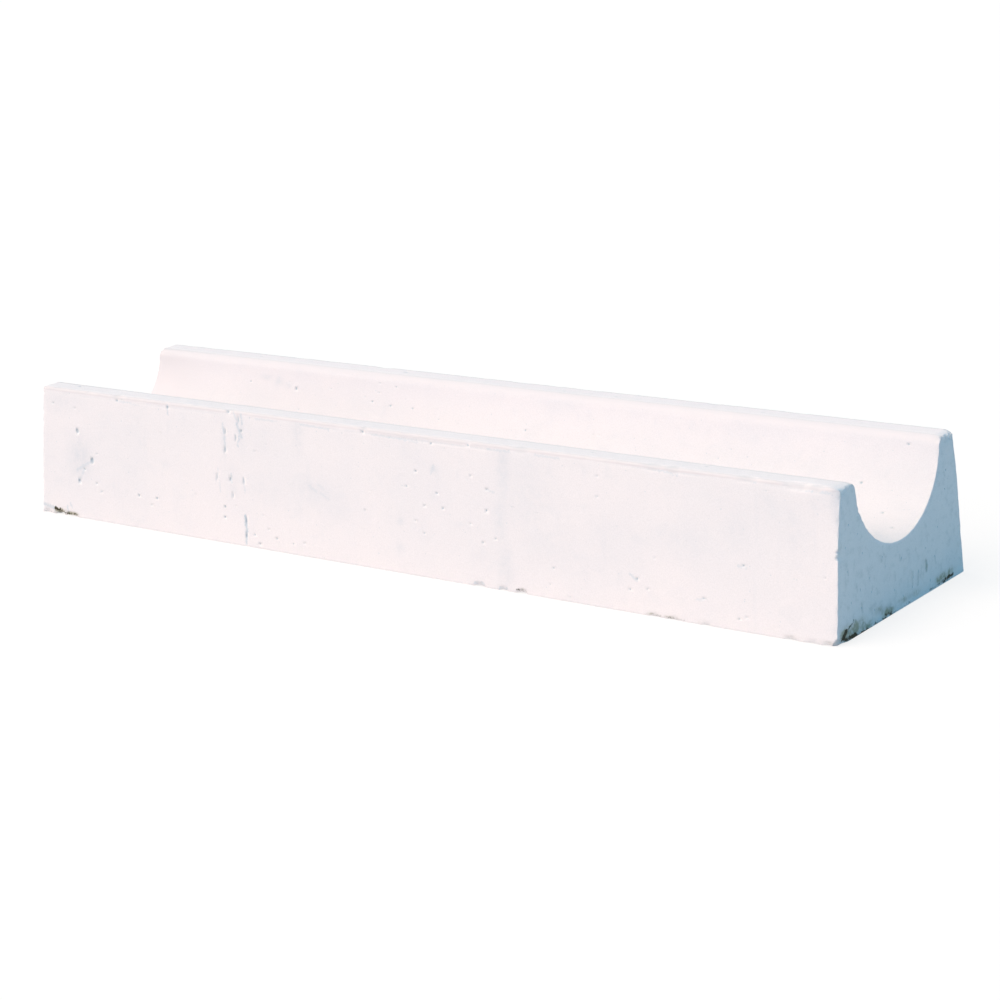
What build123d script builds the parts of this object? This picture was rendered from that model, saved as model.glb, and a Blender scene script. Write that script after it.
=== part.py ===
from build123d import *
import os

# One unit of half-round drainage channel, cast in one piece of concrete
#
# The unit lies as it is laid in the ground, on its flat base, with the half-round
# channel open upwards and running straight through from end to end.
# X runs along the channel, Y across it and Z up, and the origin is the middle of the base.
# All sizes are in millimetres.

# The sizes that the unit is ordered by

unit_length = 1000.0
channel_bore = 150.0

# The concrete round the channel: under its lowest line, and each side of its mouth

invert_thickness = 65.0
wall_top_width = 28.0

# The unit is cast upside down and drawn from its mould by the base, so the base is
# its widest part: each side leans in by side_batter over the height, and the end at
# low X by end_batter, while the end at high X stands square

side_batter = 12.0
end_batter = 12.0

# The rolled inner edge of each wall top, over which water runs into the channel

rolled_edge_radius = 9.0

# The arrises that the mould leaves along the wall tops and round the two ends

outer_arris_radius = 3.0
end_arris_radius = 2.0

# What follows from them: the channel is a true half circle, as deep as its radius

channel_radius = channel_bore / 2
unit_height = invert_thickness + channel_radius
top_width = channel_bore + 2 * wall_top_width
base_width = top_width + 2 * side_batter


def channel_section():
    """The section across the unit: a trapezium less a half circle, with its wall tops eased."""
    block = Polygon(
        (-base_width / 2, 0),
        (base_width / 2, 0),
        (top_width / 2, unit_height),
        (-top_width / 2, unit_height),
        align=None,
    )
    section = block - Pos(0, unit_height) * Circle(channel_radius)
    wall_tops = section.vertices().sort_by(Axis.Y)[2:].sort_by(Axis.X)
    section = fillet(wall_tops[1:-1], rolled_edge_radius)
    wall_tops = section.vertices().sort_by(Axis.Y)[2:].sort_by(Axis.X)
    return fillet([wall_tops[0], wall_tops[-1]], outer_arris_radius)


def battered_end_plane():
    """The plane of the leaning end face, with its normal into the unit."""
    return Plane(
        origin=(-unit_length / 2, 0, 0),
        x_dir=(0, 1, 0),
        z_dir=(unit_height, 0, -end_batter),
    )


def end_outline(unit, towards):
    """The edges round the end face that lies furthest along an axis, but for its edge on the base."""
    end_face = unit.faces().sort_by(towards)[-1]
    return end_face.edges().sort_by(Axis.Z)[1:]


def drainage_channel():
    """The finished unit: its section carried along the length, and its low end cut to the batter."""
    across = Plane(origin=(-unit_length / 2, 0, 0), x_dir=(0, 1, 0), z_dir=(1, 0, 0))
    unit = extrude(across * channel_section(), amount=unit_length)
    unit = split(unit, bisect_by=battered_end_plane(), keep=Keep.TOP)
    for towards in (Axis.X, -Axis.X):
        unit = fillet(end_outline(unit, towards), end_arris_radius)
    return unit


os.makedirs("parts", exist_ok=True)
export_step(drainage_channel(), "parts/drainage_channel.step")
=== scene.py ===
# %% [markdown]
# # A half-round drainage channel in cast concrete
#
# The real object is one unit of a surface drain, about a metre long. It is cast upside down in a
# smooth mould, so its sides lean in a little towards the top, and its skin keeps what the casting
# left: round bug holes where air was trapped, faint streaks and clouds of cement, a fine line where
# two plates of the mould met, and broken spots along the edges.
#
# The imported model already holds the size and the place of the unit. This script gives the unit its
# skin: one closed mesh that replaces the plain node, a concrete material, and a plain bright studio.
# All lengths are in metres unless a name says otherwise.

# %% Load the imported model
import math

import bpy
import mathutils
import numpy as np
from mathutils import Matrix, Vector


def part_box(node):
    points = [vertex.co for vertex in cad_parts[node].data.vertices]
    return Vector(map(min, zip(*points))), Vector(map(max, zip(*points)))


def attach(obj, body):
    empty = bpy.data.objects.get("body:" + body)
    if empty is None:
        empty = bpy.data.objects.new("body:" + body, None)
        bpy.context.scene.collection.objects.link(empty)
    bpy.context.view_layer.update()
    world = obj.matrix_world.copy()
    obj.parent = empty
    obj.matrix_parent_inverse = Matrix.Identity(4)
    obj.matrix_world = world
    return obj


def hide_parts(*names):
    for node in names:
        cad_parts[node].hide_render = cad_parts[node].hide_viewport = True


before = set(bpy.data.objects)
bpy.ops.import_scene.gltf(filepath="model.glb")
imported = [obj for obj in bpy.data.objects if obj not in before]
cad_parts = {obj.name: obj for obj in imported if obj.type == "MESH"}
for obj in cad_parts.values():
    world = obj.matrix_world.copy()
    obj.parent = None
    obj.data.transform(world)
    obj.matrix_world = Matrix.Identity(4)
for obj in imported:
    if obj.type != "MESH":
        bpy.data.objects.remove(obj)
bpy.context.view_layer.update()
lowest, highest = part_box("drainage_channel")
length = highest.x - lowest.x
base_width = highest.y - lowest.y
height = highest.z
print("packed unit, metres:", round(length, 4), round(base_width, 4), round(height, 4))

# %% [markdown]
# ## The camera
#
# The camera comes first, because the marks on the concrete are found with it. It stands where the
# photograph was taken: the straight edges and the two half circles of the unit give its place, its
# direction and its focal length. The camera was held slightly turned, so it has a roll as well.

# %% Place the camera
mm = 0.001
picture_size_px = 1000
picture_middle_px = picture_size_px / 2
focal_length_px = 2579.3
sensor_width_mm = 36.0
camera_place = np.array([1.5915, -1.9175, 0.7681])
bearing = math.radians(-38.826)
tilt = math.radians(-16.328)
roll = math.radians(4.460)


def camera_axes():
    """The camera's right, down and forward directions, as unit vectors.

    Forward comes from the bearing, measured from +Y towards +X, and the tilt above the horizon.
    The level right and down directions are then turned about it by the roll.
    """
    forward = np.array([
        math.cos(tilt) * math.sin(bearing),
        math.cos(tilt) * math.cos(bearing),
        math.sin(tilt),
    ])
    level_right = np.array([math.cos(bearing), -math.sin(bearing), 0.0])
    level_down = np.cross(forward, level_right)
    right = math.cos(roll) * level_right + math.sin(roll) * level_down
    down = math.cos(roll) * level_down - math.sin(roll) * level_right
    return right, down, forward


right, down, forward = camera_axes()
camera_data = bpy.data.cameras.new("photo_camera")
camera_data.sensor_width = sensor_width_mm
camera_data.lens = sensor_width_mm * focal_length_px / picture_size_px
camera = bpy.data.objects.new("photo_camera", camera_data)
turn = mathutils.Matrix([right, -down, -forward]).transposed().to_4x4()
camera.matrix_world = mathutils.Matrix.Translation(camera_place) @ turn
bpy.context.scene.collection.objects.link(camera)
bpy.context.scene.camera = camera
print("lens, mm:", round(camera_data.lens, 2))

# %% [markdown]
# ## The section
#
# A channel like this could be made with boolean cuts, but a mesh that was worked out row by row can
# carry relief everywhere. So the section is drawn as one closed path of lines and arcs in Y and Z,
# and each stretch of it gets as many points as its detail needs: few on the hidden base, many on
# the arrises. First come its sizes, and the tools that set out points along a line or an arc.

# %% Sizes of the section, and rows of points
channel_radius = 75 * mm
side_batter = 12 * mm
end_batter = 12 * mm
rolled_edge = 9 * mm
outer_arris = 3 * mm
foot_arris = 0.5 * mm
end_arris = 0.7 * mm

half_base = base_width / 2
half_top = half_base - side_batter
side_lean = math.atan2(side_batter, height)
rolled_lean = math.asin(rolled_edge / (channel_radius + rolled_edge))
rolled_y = math.sqrt((channel_radius + rolled_edge) ** 2 - rolled_edge ** 2)
quarter = math.pi / 2


def line_rows(start, end, shares):
    """Points at the given shares of the way from start to end; the end itself is left out."""
    return np.array(start) + np.outer(shares, np.array(end) - np.array(start))


def arc_rows(centre, radius, from_angle, to_angle, cells):
    """Centre plus radius times the cosine and sine of evenly spaced angles, without the last."""
    angles = from_angle + (to_angle - from_angle) * np.arange(cells) / cells
    return np.array(centre) + radius * np.column_stack([np.cos(angles), np.sin(angles)])


def even_shares(cells):
    """Evenly spaced shares from zero, without the last."""
    return np.arange(cells) / cells


def graded_shares(total, fine_start, fine_end, fine_step, coarse_step):
    """Shares of a line whose points stand close over a stretch at each end and wide between."""
    start = np.arange(0, fine_start, fine_step)
    end = total - np.arange(0, fine_end, fine_step)[::-1]
    gap = end[0] - start[-1]
    cells = math.ceil(gap / coarse_step)
    middle = start[-1] + gap * np.arange(1, cells) / cells
    return np.concatenate([start, middle, end[:-1]]) / total


def with_fine_stretch(shares, total, low, high, step):
    """The shares of a line, with evenly close points between two distances from its start."""
    fine = np.arange(low, high, step) / total
    clear = (shares < fine[0] - step / total) | (shares > fine[-1] + step / total)
    return np.sort(np.concatenate([shares[clear], fine]))


def arris_middle(edge_y, radius, up):
    """Y of the middle of an arris: one radius from the leaning side and from a level face.

    The level face meets the side at edge_y. It is a wall top where up is one, and the base where
    up is minus one. The arris leaves the side at the radius times one less up times the sine of
    the lean, over its cosine, from there. The middle is one radius in, square to the side.
    """
    slant = math.hypot(side_batter, height)
    along = radius * (1 - up * side_batter / slant) * slant / height
    return edge_y + up * along * side_batter / slant - radius * height / slant


# %% [markdown]
# The path starts on the front wall's top, follows the channel to the back wall, and comes back by
# the back side, the base and the front side. Its rows stand close near the edges that are chipped,
# and half way up the front side, where a small nick needs them.

# %% Draw the section
arris_y = arris_middle(half_top, outer_arris, 1)
arris_z = height - outer_arris
foot_y = arris_middle(half_base, foot_arris, -1)
foot_z = foot_arris
side_top = (arris_y + outer_arris * math.cos(side_lean), arris_z + outer_arris * math.sin(side_lean))
side_foot = (foot_y + foot_arris * math.cos(side_lean), foot_z + foot_arris * math.sin(side_lean))
side_length = math.dist(side_top, side_foot)
base_length = 2 * foot_y

top_cells = 12
rolled_cells = 8
bore_cells = 108
arris_cells = 4
foot_cells = 2
fine_step = 1.5 * mm
front_step = 2.75 * mm
back_step = 4 * mm
base_fine_step = 2 * mm
base_step = 14 * mm
front_foot_stretch = 12 * mm
front_top_stretch = 10 * mm
back_stretch = 9 * mm
base_stretch = 6 * mm
nick_low = 75 * mm
nick_high = 88 * mm
nick_step = 1.2 * mm

front_shares = with_fine_stretch(
    graded_shares(side_length, front_foot_stretch, front_top_stretch, fine_step, front_step),
    side_length, nick_low, nick_high, nick_step)
back_shares = graded_shares(side_length, back_stretch, back_stretch, fine_step, back_step)
base_shares = graded_shares(base_length, base_stretch, base_stretch, base_fine_step, base_step)
stretches = {
    "front_top": line_rows((-arris_y, height), (-rolled_y, height), even_shares(top_cells)),
    "front_rolled": arc_rows((-rolled_y, height - rolled_edge), rolled_edge, quarter, rolled_lean,
                             rolled_cells),
    "bore": arc_rows((0, height), channel_radius, math.pi + rolled_lean, 2 * math.pi - rolled_lean,
                     bore_cells),
    "back_rolled": arc_rows((rolled_y, height - rolled_edge), rolled_edge, math.pi - rolled_lean,
                            quarter, rolled_cells),
    "back_top": line_rows((rolled_y, height), (arris_y, height), even_shares(top_cells)),
    "back_arris": arc_rows((arris_y, arris_z), outer_arris, quarter, side_lean, arris_cells),
    "back_side": line_rows(side_top, side_foot, back_shares),
    "back_foot": arc_rows((foot_y, foot_z), foot_arris, side_lean, -quarter, foot_cells),
    "base": line_rows((foot_y, 0), (-foot_y, 0), base_shares),
    "front_foot": arc_rows((-foot_y, foot_z), foot_arris, -quarter, -math.pi - side_lean, foot_cells),
    "front_side": line_rows((-side_foot[0], side_foot[1]), (-side_top[0], side_top[1]), front_shares),
    "front_arris": arc_rows((-arris_y, arris_z), outer_arris, math.pi - side_lean, quarter,
                            arris_cells),
}
section = np.concatenate(list(stretches.values()))
row_count = len(section)
rows_so_far = np.cumsum([0] + [len(stretch) for stretch in stretches.values()])
row_of = {
    name: np.arange(first, last)
    for name, first, last in zip(stretches, rows_so_far[:-1], rows_so_far[1:])
}


def row_values(elsewhere=0.0, **values):
    """One value for each row: what is given for its stretch by name, or else the same everywhere."""
    result = np.full(row_count, elsewhere)
    for name, value in values.items():
        result[row_of[name]] = value
    return result


print("rows in the section:", row_count, {name: len(rows) for name, rows in row_of.items()})

# %% [markdown]
# ## The sheet
#
# The section is now carried along X. Each row keeps its place in Y and Z, and the columns run from
# one end to the other. One end leans, so its X follows the height. The last few columns at each
# end turn round the end arris: they step in by one minus the sine of an angle while they step
# towards the end by one minus its cosine.

# %% Carry the section along the length
column_step = 3.8 * mm
fine_column_step = 1.3 * mm
fine_end = 12 * mm
end_arris_cells = 4
foot_end_arris = 0.4 * mm
foot_blend_height = 8 * mm


def smooth_step(values, start, end):
    """Zero before start, one after end, and three t squared minus two t cubed between them."""
    t = np.clip((values - start) / (end - start), 0, 1)
    return t * t * (3 - 2 * t)


def section_normals():
    """Outward directions across the section: the path's direction turned by a quarter turn."""
    along = np.roll(section, -1, axis=0) - np.roll(section, 1, axis=0)
    normal = np.column_stack([-along[:, 1], along[:, 0]])
    return normal / np.linalg.norm(normal, axis=1, keepdims=True)


def plain_sheet():
    """The unit's long surface as an array of rows by columns of points, before any relief."""
    y, z = section.T
    arris = foot_end_arris + (end_arris - foot_end_arris) * smooth_step(z, 0, foot_blend_height)
    low_x = -length / 2 + end_batter * z / height
    high_x = length / 2
    turn_angles = quarter * np.arange(end_arris_cells + 1) / end_arris_cells
    out = 1 - np.cos(turn_angles)
    inset = 1 - np.sin(turn_angles)
    between = graded_shares(
        length - 2 * end_arris, fine_end, fine_end, fine_column_step, column_step)[1:]
    run = high_x - low_x - 2 * arris
    x = np.concatenate([
        low_x[:, None] + np.outer(arris, out),
        (low_x + arris)[:, None] + np.outer(run, between),
        high_x - np.outer(arris, out[::-1]),
    ], axis=1)
    step_in = np.concatenate([
        np.outer(arris, inset),
        np.zeros((len(z), len(between))),
        np.outer(arris, inset[::-1]),
    ], axis=1)
    return np.stack([
        x,
        y[:, None] - across_normals[:, :1] * step_in,
        z[:, None] - across_normals[:, 1:] * step_in,
    ], axis=2)


def sheet_normals(sheet):
    """Outward directions of the sheet: the cross product of its steps along X and along the section."""
    around = np.roll(sheet, -1, axis=0) - np.roll(sheet, 1, axis=0)
    along = np.gradient(sheet, axis=1)
    normal = np.cross(along, around)
    return normal / np.linalg.norm(normal, axis=2, keepdims=True)


across_normals = section_normals()
plain = plain_sheet()
outward = sheet_normals(plain)
column_count = plain.shape[1]
print("sheet:", plain.shape[0], "rows by", column_count, "columns")

# %% [markdown]
# ## Noise
#
# Nothing about cast concrete repeats. All of the uneven things below start from the same smooth
# noise: random values on the corners of a lattice, blended between the corners. Each of them gives
# its own seed, the number that the random values start from, so that no two look alike and every
# run of the script makes the same unit.

# %% Noise that is smooth in space
lattice_size = 32


def cast_noise(points, wavelength, seed):
    """Random values from minus one to one at the corners of cubes, blended smoothly inside each.

    The blend along each axis is three t squared minus two t cubed, and the lattice repeats.
    """
    values = np.random.default_rng(seed).uniform(-1, 1, (lattice_size,) * 3)
    place = points / wavelength
    corner = np.floor(place).astype(int)
    t = smooth_step(place - corner, 0, 1)
    total = np.zeros(points.shape[:-1])
    for dx in (0, 1):
        for dy in (0, 1):
            for dz in (0, 1):
                weight = (
                    np.where(dx, t[..., 0], 1 - t[..., 0])
                    * np.where(dy, t[..., 1], 1 - t[..., 1])
                    * np.where(dz, t[..., 2], 1 - t[..., 2])
                )
                i, j, k = np.moveaxis((corner + (dx, dy, dz)) % lattice_size, -1, 0)
                total += weight * values[i, j, k]
    return total


def layered_noise(points, wavelength, seed, layers=3):
    """A sum of noises, each with half the wavelength and half the height of the one before."""
    total = sum(
        cast_noise(points, wavelength / 2 ** layer, seed + layer) / 2 ** layer
        for layer in range(layers)
    )
    return total / (2 - 2 ** (1 - layers))


def half_lit(noise):
    """Noise from minus one to one, moved to run from zero to one."""
    return 0.5 + noise / 2


# %% [markdown]
# ## Marks taken from the photograph
#
# The holes, chips and smudges that the photograph shows are placed by their pixels. A ray leaves
# the camera through each pixel and is followed to the face that the mark is on: the leaning front
# side, the far half of the channel or the square end. That gives its place on the real object.

# %% Follow a pixel to the concrete


def rays(pixels):
    """Directions from the camera through the pixels: forward, plus each pixel's offset from the
    middle of the picture over the focal length, times right and down."""
    offset = (np.array(pixels, float)[:, :2] - picture_middle_px) / focal_length_px
    return forward + offset[:, :1] * right + offset[:, 1:] * down


def on_front_side(pixels):
    """Where rays meet the front side, whose Y is minus the half base plus the lean times Z."""
    direction = rays(pixels)
    lean = side_batter / height
    gap = -half_base + lean * camera_place[2] - camera_place[1]
    reach = gap / (direction[:, 1] - lean * direction[:, 2])
    return camera_place + direction * reach[:, None]


def on_channel(pixels):
    """Where rays leave the half round: the far root of the circle's equation in Y and Z."""
    direction = rays(pixels)
    start = camera_place - (0, 0, height)
    a = (direction[:, 1:] ** 2).sum(axis=1)
    b = 2 * (direction[:, 1:] * start[1:]).sum(axis=1)
    c = (start[1:] ** 2).sum() - channel_radius ** 2
    reach = (-b + np.sqrt(b * b - 4 * a * c)) / (2 * a)
    return camera_place + direction * reach[:, None]


def on_wall_top(pixels):
    """Where rays meet the level of the wall tops."""
    direction = rays(pixels)
    reach = (height - camera_place[2]) / direction[:, 2]
    return camera_place + direction * reach[:, None]


def on_square_end(pixels):
    """Where rays meet the plane of the square end."""
    direction = rays(pixels)
    reach = (length / 2 - camera_place[0]) / direction[:, 0]
    return camera_place + direction * reach[:, None]


# %% [markdown]
# ## Relief as cast
#
# A mould plate is never quite flat, and concrete never quite fills it. All of the relief is taken
# away from the plain shape and nothing is added, so the unit stays inside its real size. A slow
# swell and a finer one cover the whole skin. Just below each top arris runs the line where the
# mould's top strip met its side plate, broken where the paste closed it. The arrises themselves
# are worn in patches.

# %% Swells, the mould line and worn arrises
swell_depth = 0.35 * mm
swell_wavelength = 95 * mm
skin_depth = 0.14 * mm
skin_wavelength = 14 * mm
mould_line_px = [(130, 402), (290, 423), (430, 442), (600, 463), (740, 481), (820, 493)]
mould_line_half_width = 1.3 * mm
mould_line_depth = 0.5 * mm
mould_line_wavelength = 50 * mm
mould_line_limits = (-0.2, 0.3)
arris_wear_depth = 0.6 * mm
arris_wear_wavelength = 16 * mm
arris_wear_limits = (0.05, 0.6)
back_arris_wear_share = 0.4

depth = swell_depth * half_lit(layered_noise(plain, swell_wavelength, seed=11))
depth += skin_depth * half_lit(layered_noise(plain, skin_wavelength, seed=23))

mould_line = on_front_side(mould_line_px)
line_height = np.interp(plain[..., 0], mould_line[:, 0], mould_line[:, 2])
near_line = np.clip(1 - np.abs(plain[..., 2] - line_height) / mould_line_half_width, 0, 1)
line_noise = layered_noise(plain * (1, 1, 0), mould_line_wavelength, seed=31)
on_sides = row_values(front_side=1, back_side=1)
line_share = near_line * smooth_step(line_noise, *mould_line_limits) * on_sides[:, None]
depth += mould_line_depth * line_share

wear = smooth_step(layered_noise(plain, arris_wear_wavelength, seed=41), *arris_wear_limits)
on_arris = row_values(front_arris=1, back_arris=back_arris_wear_share)
depth += arris_wear_depth * wear * on_arris[:, None]
print("relief, mm: least", round(depth.min() / mm, 2), "most", round(depth.max() / mm, 2))

# %% [markdown]
# Along the two ends the arris crumbled in short bites when the unit was struck from its mould. The
# bites are shallow on the channel's edge and fade out just above the base.

# %% Ragged arrises round the ends
bite_depth = 0.9 * mm
bore_bite_depth = 0.35 * mm
bite_reach = 2.4 * mm
bite_full_share = 0.4
bite_wavelength = 4 * mm
bite_layers = 2
bite_limits = (0.0, 0.5)
bite_none_below = 2 * mm
bite_full_above = 8 * mm


def end_gap(places):
    """How far places lie from the nearer end along X, with the lean of the low end taken off."""
    low_gap = places[..., 0] + length / 2 - end_batter * places[..., 2] / height
    return np.minimum(length / 2 - places[..., 0], low_gap)


near_end = 1 - smooth_step(end_gap(plain), bite_full_share * bite_reach, bite_reach)
bite_noise = layered_noise(plain * (0, 1, 1), bite_wavelength, seed=47, layers=bite_layers)
above_base = smooth_step(plain[..., 2], bite_none_below, bite_full_above)
row_bite_depth = row_values(bite_depth, bore=bore_bite_depth)
bite = row_bite_depth[:, None] * smooth_step(bite_noise, *bite_limits) * near_end * above_base
print("deepest bite, mm:", round(bite.max() / mm, 2))

# %% [markdown]
# ## Broken edges
#
# Each chip is a shallow bowl laid along an edge. It falls off with the distance along the edge and
# across it, and noise makes its rim ragged. The lists give each chip's pixel in the photograph, its
# length along the edge and its depth in millimetres.

# %% List the chips that can be seen
arris_chips_px = [
    (791, 482, 16, 1.8),
    (801, 485, 22, 2.4),
    (816, 490, 14, 1.6),
    (652, 469, 20, 0.9),
    (672, 474, 18, 0.9),
    (745, 479, 26, 0.8),
    (229, 411, 9, 1.2),
    (363, 431, 7, 1.2),
    (116, 400, 14, 0.8),
    (520, 452, 24, 0.8),
]
foot_chips_px = [
    (47, 505, 14, 1.2),
    (60, 511, 13, 3.2),
    (71, 513, 18, 1.4),
    (479, 583, 11, 1.6),
    (503, 588, 8, 1.4),
    (522, 591, 11, 2.2),
    (655, 615, 12, 0.7),
    (674, 618, 15, 0.6),
    (706, 624, 12, 0.8),
    (791, 640, 12, 0.9),
    (812, 644, 16, 0.7),
    (828, 646, 10, 1.2),
]
foot_chip_reach = 5 * mm
arris_chip_reach = 6 * mm
chip_rough_wavelength = 9 * mm
chip_rough_share = 0.45
chip_rough = chip_rough_share * layered_noise(plain, chip_rough_wavelength, seed=57)


def chip_depth(places, chips, edge_distance, reach):
    """How deep the chips cut at each point of the sheet.

    Each chip's depth is multiplied by the square root of one, less the square of the distance
    along X over its half length, less the square of the distance from the edge over the reach,
    plus the roughness.
    """
    cut = np.zeros(edge_distance.shape)
    across = edge_distance / reach
    for place, (_, _, long_mm, deep_mm) in zip(places, chips):
        along = np.abs(plain[..., 0] - place[0]) / (long_mm * mm / 2)
        fall = np.clip(1 - along ** 2 - across ** 2 + chip_rough, 0, 1)
        cut = np.maximum(cut, deep_mm * mm * np.sqrt(fall))
    return cut


# %% [markdown]
# Broken edges need company on the sides that the photograph doesn't show. A seeded draw places
# chips along the hidden edges, a few to each, and none deeper than the deepest that can be seen.

# %% Break the edges
hidden_draw = np.random.default_rng(7)
hidden_foot_chip_count = 9
hidden_arris_chip_count = 4
hidden_chip_lengths_mm = (8, 26)
hidden_foot_chip_depths_mm = (0.6, 2.4)
hidden_arris_chip_depths_mm = (0.3, 0.6)
diagonal = math.sqrt(0.5)


def hidden_chips(count, depths_mm):
    """Chips at random places along the length: the places, then the chips as in the lists."""
    places = hidden_draw.uniform(-length / 2, length / 2, (count, 3))
    sizes = hidden_draw.uniform(*hidden_chip_lengths_mm, count)
    depths = hidden_draw.uniform(*depths_mm, count)
    return places, [(0, 0, size, deep) for size, deep in zip(sizes, depths)]


def edge_gap(edge_y, edge_z):
    """How far each point of the sheet lies from an edge along the unit, at the given Y and Z."""
    return np.hypot(plain[..., 1] - edge_y, plain[..., 2] - edge_z)


def slanting(up):
    """Directions in from each side and up, or down where up is minus one, at half a right angle."""
    y = plain[..., 1]
    return diagonal * np.stack([np.zeros_like(y), -np.sign(y), np.full_like(y, up)], axis=2)


hidden_foot_chips = hidden_chips(hidden_foot_chip_count, hidden_foot_chip_depths_mm)
foot_cut = np.maximum(
    chip_depth(on_front_side(foot_chips_px), foot_chips_px, edge_gap(-half_base, 0), foot_chip_reach),
    chip_depth(*hidden_foot_chips, edge_gap(half_base, 0), foot_chip_reach),
)
hidden_arris_chips = hidden_chips(hidden_arris_chip_count, hidden_arris_chip_depths_mm)
arris_cut = np.maximum(
    chip_depth(on_front_side(arris_chips_px), arris_chips_px, edge_gap(-half_top, height),
               arris_chip_reach),
    chip_depth(*hidden_arris_chips, edge_gap(half_top, height), arris_chip_reach),
)
print("deepest foot chip, mm:", round(foot_cut.max() / mm, 2),
      "deepest arris chip, mm:", round(arris_cut.max() / mm, 2))

sheet = plain - outward * depth[..., None]
sheet += slanting(1) * foot_cut[..., None] + slanting(-1) * arris_cut[..., None]
sheet[..., 1:] -= across_normals[:, None] * bite[..., None]

# %% [markdown]
# Where units knock together, their ends wear. Over the last millimetres the wall tops and the
# upper sides drop away in a slow curve, much more at the square end than at the low one.

# %% Wear the wall ends
end_wear_depth = 2.8 * mm
low_end_wear_share = 0.15
end_wear_reach = 9 * mm
end_wear_power = 1.5
end_wear_rough_share = 0.5
end_wear_rough_wavelength = 6 * mm
end_wear_rough_stretch = (0.3, 1, 1)
side_wear_foot = 92 * mm
inner_wear_share = 0.35


def wear_shares():
    """How much of the wear each row takes: all of it on the outer arrises, less and less down the
    sides, and less across the wall tops towards the channel."""
    y, z = np.abs(section[:, 0]), section[:, 1]
    outer_share = smooth_step(y, channel_radius, half_top - outer_arris)
    top_share = inner_wear_share + (1 - inner_wear_share) * outer_share
    top_share *= smooth_step(z, height - rolled_edge, height)
    on_outside = row_values(front_side=1, front_arris=1, back_arris=1, back_side=1)
    return np.where(on_outside, smooth_step(z, side_wear_foot, height), top_share)


def wear_wall_ends(places):
    """Moves places near the ends into the section, by the wear depth times the row's share, times
    one minus the gap to the end over the reach, to a power, times one plus the roughness."""
    close = np.clip(1 - end_gap(places) / end_wear_reach, 0, 1) ** end_wear_power
    end_share = np.where(places[..., 0] > 0, 1.0, low_end_wear_share)
    noise = layered_noise(places * end_wear_rough_stretch, end_wear_rough_wavelength, seed=67)
    rough = 1 + end_wear_rough_share * noise
    wear = end_wear_depth * wear_shares()[:, None] * end_share * close * rough
    places[..., 1:] -= across_normals[:, None] * wear[..., None]


wear_wall_ends(sheet)
print("share of the wear at the middle of a wall top:", round(wear_shares()[top_cells // 2], 2))

# %% [markdown]
# Two corners of the square end have broken off: the outer one of the back wall's top, and a sliver
# of the front foot. A plane through three points on the edges says how much, and everything beyond
# it is pressed back onto it. Small dents, each a bowl round a point of an edge, break the rest of
# the square end's outline. They stand close on the two wall tops and at the small nick half way
# down the front edge.

# %% Break the corners and dent the square end
rough_break = 1.5 * mm
rough_break_wavelength = 5 * mm
# Each broken corner: the corner, and how far the break reaches along X, Y and Z, in millimetres
corner_breaks = [
    ((length / 2, half_top, height), (8, 30, 4)),
    ((length / 2, -half_base, 0), (7, 8, 10)),
]
# How far from a break's plane its roughness starts, inside, and how far beyond it it's full
break_rough_from = -0.5 * mm
break_rough_full = 1.5 * mm
# Each dent: its pixel on the square end's outline, its radius and its depth in millimetres
end_dents_px = [
    (838.6, 553, 2.6, 2.2), (838.4, 559, 2.8, 2.4), (838.6, 505, 2.4, 0.9), (838.6, 520, 3.0, 0.7),
    (838.2, 585, 2.6, 0.6), (838.0, 612, 3.0, 0.7), (837.8, 634, 5.0, 1.0), (858.0, 506, 2.6, 0.6),
    (860.0, 511, 2.6, 1.0), (863.0, 519, 2.4, 0.5), (867.0, 527, 2.6, 0.4), (939.6, 447, 2.6, 0.6),
    (938.5, 458, 2.8, 0.5), (936, 473, 2.6, 0.4), (842.0, 490.4, 2.2, 1.8), (844.6, 488.8, 2.0, 0.9),
    (847.6, 487.2, 2.2, 2.0), (850.4, 485.6, 2.0, 1.3), (943, 438, 2.4, 1.8), (946.5, 437, 2.6, 2.8),
    (950.5, 435.5, 2.8, 2.8),
]


def break_corners(places):
    """Presses places beyond each break's plane back onto it, and returns how far the most moved.

    The plane's normal has one over each reach as its parts, with the signs of the corner.
    """
    moved = np.zeros(places.shape[:-1])
    rough = rough_break * half_lit(layered_noise(places, rough_break_wavelength, seed=71))
    for corner, reach in corner_breaks:
        corner = np.array(corner)
        signs = np.where(corner > height / 2, 1, -1)
        normal = signs / (np.array(reach) * mm)
        normal /= np.linalg.norm(normal)
        on_plane = corner - (signs[0] * reach[0] * mm, 0, 0)
        beyond = (places - on_plane) @ normal
        roughened = rough * smooth_step(beyond, break_rough_from, break_rough_full)
        pressed = np.clip(beyond, 0, None) + roughened
        places -= normal * pressed[..., None]
        moved = np.maximum(moved, pressed)
    return moved


def dent_end(places):
    """Moves places into the concrete by each dent's depth times one minus the squared share of its
    radius, in a direction half way between the section's inside and the low end."""
    inward = np.column_stack([np.full(row_count, -1.0), -across_normals]) / math.sqrt(2)
    for place, (_, _, radius_mm, deep_mm) in zip(on_square_end(end_dents_px), end_dents_px):
        share = np.clip(1 - ((places - place) ** 2).sum(axis=-1) / (radius_mm * mm) ** 2, 0, 1)
        places += inward[:, None] * (deep_mm * mm * share)[..., None]


pressed = break_corners(sheet)
dent_end(sheet)
sheet = np.clip(sheet, np.array(lowest), np.array(highest))
print("deepest corner break, mm:", round(pressed.max() / mm, 2),
      "farthest from the plain shape, mm:",
      round(np.linalg.norm(sheet - plain, axis=2).max() / mm, 2))

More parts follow.
